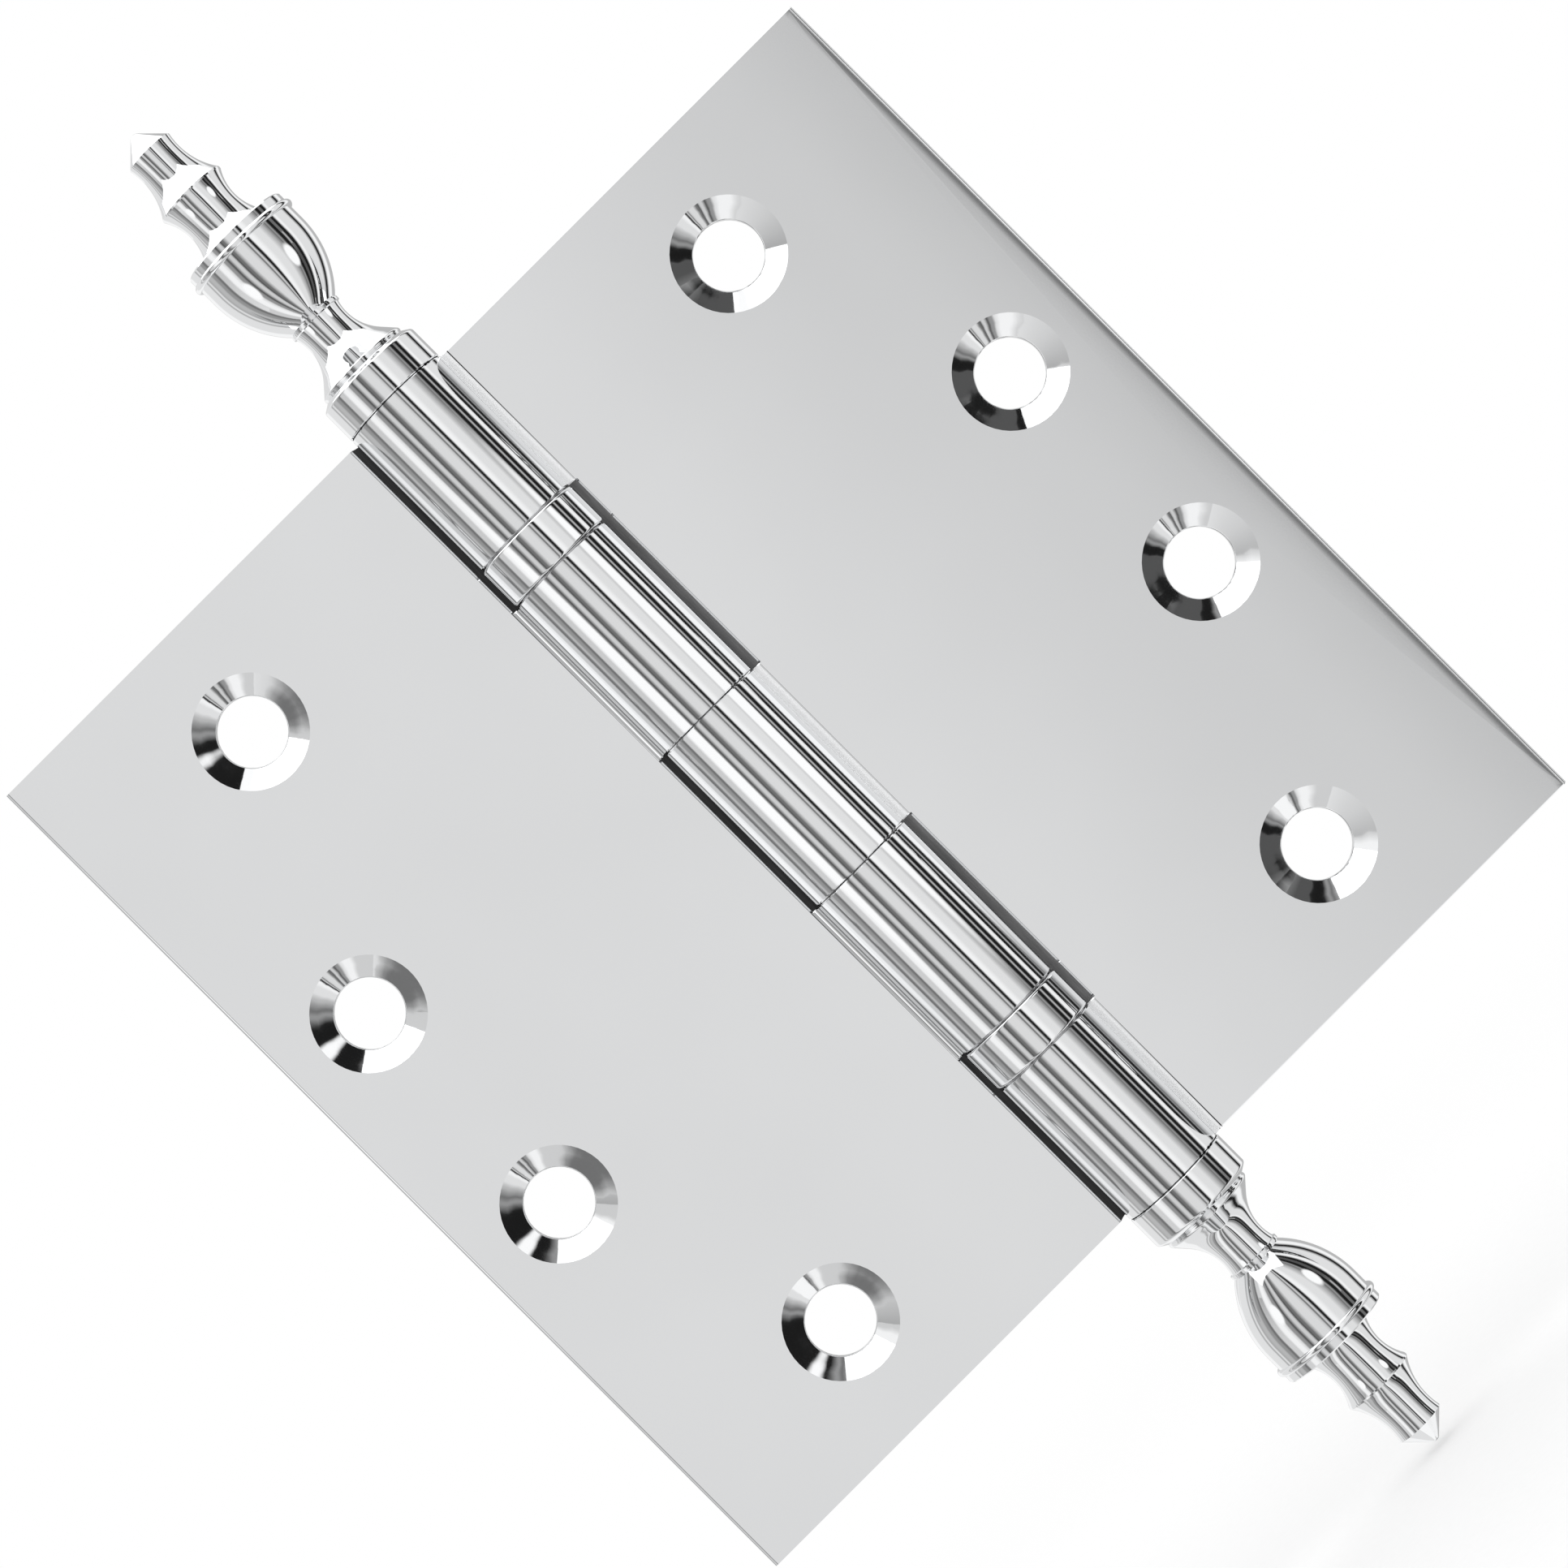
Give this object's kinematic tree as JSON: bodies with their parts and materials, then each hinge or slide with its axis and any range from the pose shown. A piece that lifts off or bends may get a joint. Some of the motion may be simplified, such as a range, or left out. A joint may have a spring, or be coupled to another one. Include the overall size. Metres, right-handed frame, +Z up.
{
  "type": "ball bearing butt hinge",
  "caption": "Full mortise butt hinge with square-cornered leaves, ball bearings between its knuckles and turned urn finials on the pin, opened flat; carries and swings a door.",
  "frame": {"origin": "on the pin's axis at the middle of the barrel, which is the centre of the open hinge", "axes": "+Z up along the pin, the countersunk faces look along -Y, the jamb leaf reaches along +X and the door leaf along -X"},
  "size_m": [0.116, 0.0138, 0.1918],
  "materials": {
    "plated_leaf": "polished",
    "plated_turning": "mirror polished",
    "steel": "ground",
    "cage_brass": "satin"
  },
  "bodies": {
    "jamb_side": {"jamb_leaf": "plated_leaf", "hinge_pin": "steel", "top_finial": "plated_turning", "bottom_finial": "plated_turning", "upper_bearing_shell": "plated_turning", "upper_bearing_top_race": "steel", "lower_bearing_shell": "plated_turning", "lower_bearing_bottom_race": "steel"},
    "door_side": {"door_leaf": "plated_leaf", "upper_bearing_bottom_race": "steel", "lower_bearing_top_race": "steel"},
    "upper_ball_ring": {"upper_bearing_cage": "cage_brass", "upper_bearing_balls": "steel"},
    "lower_ball_ring": {"lower_bearing_cage": "cage_brass", "lower_bearing_balls": "steel"}
  },
  "joints": [
    {"name": "leaf_swing", "type": "hinge", "parent": "jamb_side", "child": "door_side", "pos_m": [0, 0, 0], "axis": [0, 0, 1], "range_deg": [-90, 180]},
    {"name": "upper_balls_roll", "type": "hinge", "parent": "jamb_side", "child": "upper_ball_ring", "pos_m": [0, 0, 0.03547], "axis": [0, 0, 1], "range_deg": [-45, 90]},
    {"name": "lower_balls_roll", "type": "hinge", "parent": "jamb_side", "child": "lower_ball_ring", "pos_m": [0, 0, -0.03547], "axis": [0, 0, 1], "range_deg": [-45, 90]}
  ],
  "couplings": [
    {"joint": "upper_balls_roll", "follows": "leaf_swing", "ratio": 0.5},
    {"joint": "lower_balls_roll", "follows": "leaf_swing", "ratio": 0.5}
  ]
}
